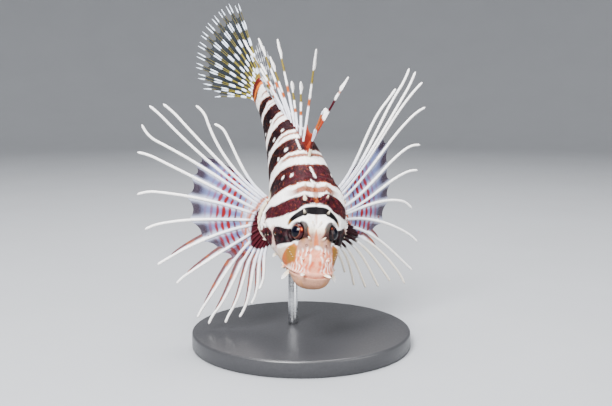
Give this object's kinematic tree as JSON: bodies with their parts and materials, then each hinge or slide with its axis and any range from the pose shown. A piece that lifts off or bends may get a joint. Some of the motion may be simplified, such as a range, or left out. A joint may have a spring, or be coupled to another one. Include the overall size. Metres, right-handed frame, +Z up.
{
  "type": "lionfish",
  "caption": "Life-size museum model of a lionfish hunting head down with its thread-like pectoral rays fanned wide, on a flat round stand with one rod.",
  "frame": {"origin": "middle of the underside of the stand's base", "axes": "+Z up out of the stand; the fish's snout points to -Y and down, its left side is towards +X"},
  "size_m": [0.145, 0.1272, 0.1725],
  "materials": {
    "skin": "painted, satin, banded dark red-brown and white",
    "fin": "thin and part clear, with white rays and red-brown spots",
    "eye": "polished dark blue",
    "stand_base": "satin black",
    "stand_rod": "brushed"
  },
  "bodies": {
    "root": {"head": "skin", "lower_jaw": "skin", "torso": "skin", "tail_stem": "skin", "eye_left": "eye", "eye_right": "eye", "pectoral_fin_left": "fin", "pectoral_fin_right": "fin", "pelvic_fin_left": "fin", "pelvic_fin_right": "fin", "dorsal_spines": "fin", "soft_dorsal_fin": "fin", "anal_fin": "fin", "tail_fin": "fin", "stand_base": "stand_base", "stand_rod": "stand_rod"}
  },
  "joints": []
}
